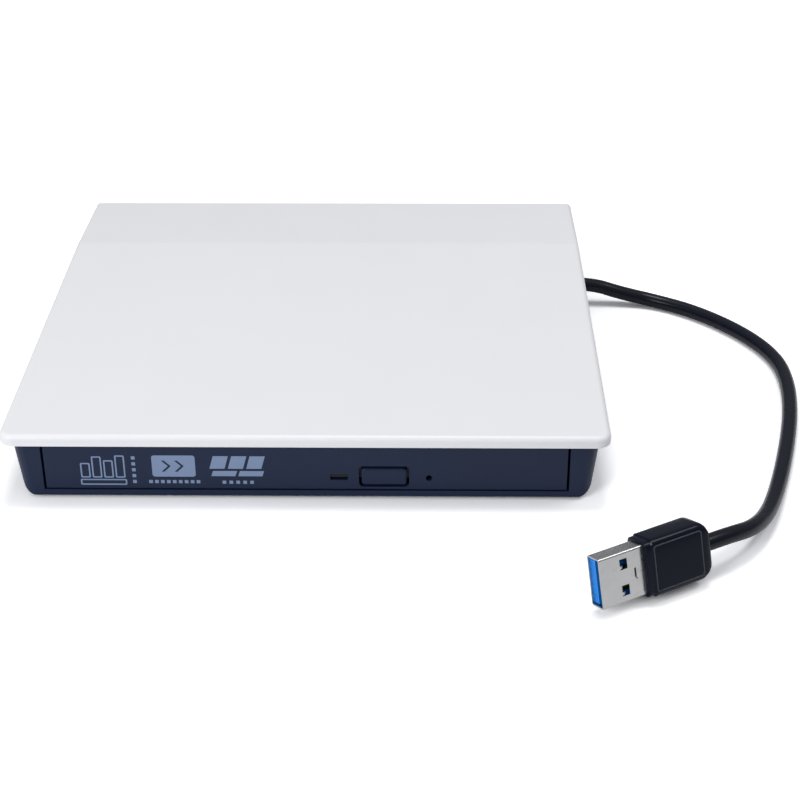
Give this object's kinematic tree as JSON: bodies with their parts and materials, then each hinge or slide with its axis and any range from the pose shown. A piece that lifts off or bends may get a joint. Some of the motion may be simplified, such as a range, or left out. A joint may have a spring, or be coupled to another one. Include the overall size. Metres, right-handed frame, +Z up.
{
  "type": "external disc drive",
  "caption": "Slim external optical disc drive: white plate cover on a black tapered base, sliding disc tray with its mechanism, and a short attached cord ending in a plug.",
  "frame": {"origin": "bottom centre of the drive without its cord, on the surface that its feet stand on", "axes": "+X to the right seen from the tray front, +Y to the back, +Z up"},
  "size_m": [0.2039, 0.1911, 0.019],
  "materials": {
    "cover_white": "satin moulded ABS",
    "case_black": "satin moulded ABS",
    "bezel_black": "fine-textured moulded ABS",
    "tray_plastic": "matt moulded polycarbonate blend",
    "guide_plastic": "natural acetal",
    "rubber": "matt rubber",
    "cord_jacket": "satin PVC jacket",
    "plug_grip": "glossy moulded PVC",
    "tongue_blue": "blue moulded insulator",
    "light_guide": "smoked acrylic",
    "sheet_steel": "zinc-plated sheet steel",
    "ground_steel": "ground and polished steel",
    "plug_steel": "nickel-plated steel",
    "screw_steel": "black zinc steel",
    "cast_zinc": "die-cast zinc",
    "electric_steel": "laminated steel",
    "magnet": "sintered magnet",
    "copper": "enamelled copper wire",
    "contact_gold": "gold-plated contacts",
    "board_green": "green solder mask on glass epoxy",
    "chip_black": "epoxy chip packages",
    "holder_black": "liquid crystal polymer",
    "lens_glass": "coated glass",
    "flex_film": "polyimide film",
    "ribbon_film": "polyester film cable"
  },
  "bodies": {
    "case": {"bottom_case": "case_black", "top_cover": "cover_white", "rubber_feet": "rubber", "case_screws": "screw_steel", "drive_pan": "sheet_steel", "drive_lid": "sheet_steel", "drive_screws": "screw_steel", "rail_guides": "guide_plastic", "latch_pin": "ground_steel", "drive_connector": "chip_black", "connector_board": "board_green", "bridge_socket": "chip_black", "bridge_board": "board_green", "bridge_parts": "chip_black", "tray_ribbon": "ribbon_film", "usb_cord": "cord_jacket", "cord_grommet": "rubber", "cord_leads": "cord_jacket", "plug_overmould": "plug_grip", "plug_shell": "plug_steel", "plug_tongue": "tongue_blue", "plug_contacts": "contact_gold"},
    "tray_unit": {"tray": "tray_plastic", "bezel": "bezel_black", "tray_bottom_plate": "sheet_steel", "mechanism_cover": "sheet_steel", "tray_board": "board_green", "front_board": "board_green", "tray_board_parts": "chip_black", "switch_and_lamp": "chip_black", "led_light_guide": "light_guide", "mechanism_frame": "sheet_steel", "frame_dampers": "rubber", "frame_screws": "screw_steel", "guide_rods": "ground_steel", "spindle_base": "sheet_steel", "spindle_stator": "electric_steel", "stator_coils": "copper", "sled_motor": "sheet_steel", "release_magnet": "electric_steel", "eject_plunger": "guide_plastic", "pickup_flex": "flex_film"},
    "button": {"eject_button": "bezel_black"},
    "rail_left": {"slide_rail_left": "sheet_steel"},
    "rail_right": {"slide_rail_right": "sheet_steel"},
    "spindle": {"spindle_rotor": "ground_steel", "rotor_magnet": "magnet", "turntable_grip": "rubber", "claw_springs": "ground_steel"},
    "claw_1": {"clamp_claw_1": "guide_plastic"},
    "claw_2": {"clamp_claw_2": "guide_plastic"},
    "claw_3": {"clamp_claw_3": "guide_plastic"},
    "sled": {"pickup_sled": "cast_zinc", "screw_follower": "guide_plastic", "laser_parts": "contact_gold", "focus_magnets": "magnet"},
    "lens": {"lens_holder": "holder_black", "objective_lens": "lens_glass"},
    "screw": {"lead_screw": "ground_steel"},
    "latch": {"latch_lever": "guide_plastic"}
  },
  "joints": [
    {"name": "tray_slide", "type": "slide", "parent": "case", "child": "tray_unit", "axis": [0, -1, 0], "range_m": [0, 0.13]},
    {"name": "rail_left_slide", "type": "slide", "parent": "case", "child": "rail_left", "axis": [0, -1, 0], "range_m": [0, 0.065]},
    {"name": "rail_right_slide", "type": "slide", "parent": "case", "child": "rail_right", "axis": [0, -1, 0], "range_m": [0, 0.065]},
    {"name": "button_press", "type": "slide", "parent": "tray_unit", "child": "button", "axis": [0, 1, 0], "range_m": [0, 0.0006], "stiffness_N_per_m": 1500},
    {"name": "spindle_spin", "type": "hinge", "parent": "tray_unit", "child": "spindle", "pos_m": [0, -0.0053, 0.009], "axis": [0, 0, 1], "continuous": true},
    {"name": "claw_1_press", "type": "slide", "parent": "spindle", "child": "claw_1", "axis": [-0.7071, 0.7071, 0], "range_m": [0, 0.0008], "stiffness_N_per_m": 800},
    {"name": "claw_2_press", "type": "slide", "parent": "spindle", "child": "claw_2", "axis": [-0.2588, -0.9659, 0], "range_m": [0, 0.0008], "stiffness_N_per_m": 800},
    {"name": "claw_3_press", "type": "slide", "parent": "spindle", "child": "claw_3", "axis": [0.9659, 0.2588, 0], "range_m": [0, 0.0008], "stiffness_N_per_m": 800},
    {"name": "sled_travel", "type": "slide", "parent": "tray_unit", "child": "sled", "axis": [-0.7071, -0.7071, 0], "range_m": [0, 0.034]},
    {"name": "lens_focus", "type": "slide", "parent": "sled", "child": "lens", "axis": [0, 0, 1], "range_m": [-0.00035, 0.00035], "stiffness_N_per_m": 400},
    {"name": "lead_screw_turn", "type": "hinge", "parent": "tray_unit", "child": "screw", "pos_m": [0.01718, -0.02248, 0.0079], "axis": [-0.7071, -0.7071, 0], "continuous": true},
    {"name": "latch_swing", "type": "hinge", "parent": "tray_unit", "child": "latch", "pos_m": [0.0408, -0.045, 0.0054], "axis": [0, 0, 1], "range_deg": [0, 18], "stiffness_Nm_per_rad": 0.02}
  ],
  "couplings": [
    {"joint": "rail_left_slide", "follows": "tray_slide", "ratio": 0.5},
    {"joint": "rail_right_slide", "follows": "tray_slide", "ratio": 0.5},
    {"joint": "lead_screw_turn", "follows": "sled_travel", "rad_per_m": 2094.4}
  ]
}
